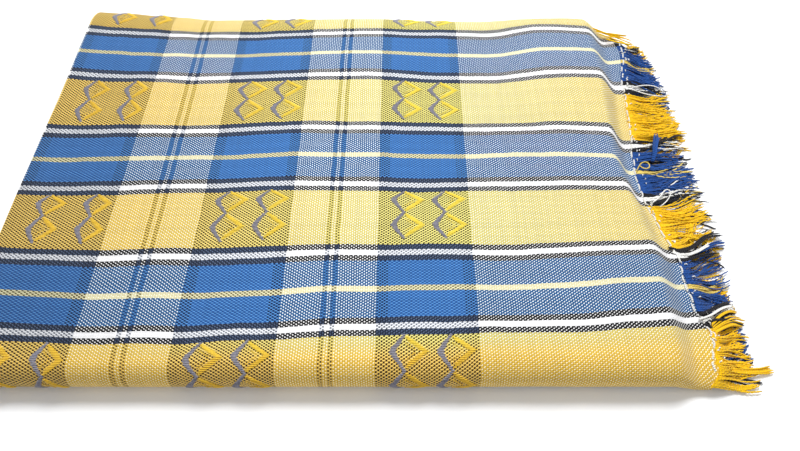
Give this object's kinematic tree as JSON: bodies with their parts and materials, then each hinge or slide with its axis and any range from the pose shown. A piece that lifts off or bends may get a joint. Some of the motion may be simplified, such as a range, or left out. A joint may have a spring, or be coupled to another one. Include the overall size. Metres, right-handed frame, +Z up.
{
  "type": "folded checkered blanket",
  "caption": "Hand-woven checkered blanket folded flat into a stack of its own layers, with a rounded front fold and a fringed open end.",
  "frame": {"origin": "middle of the part's footprint on the surface it lies on", "axes": "+X along the warp towards the fringed open end, +Y across the stripes towards the back fold, +Z up"},
  "size_m": [0.7014, 0.4749, 0.0369],
  "materials": {
    "woven_cloth": "matte hand-woven cotton check of golden yellow, royal blue, white and black",
    "fringe_yarn": "matte loose cotton warp yarn, yellow, blue, black and white"
  },
  "bodies": {
    "root": {"blanket": "woven_cloth", "fringe_top": "fringe_yarn", "fringe_bottom": "fringe_yarn"}
  },
  "joints": []
}
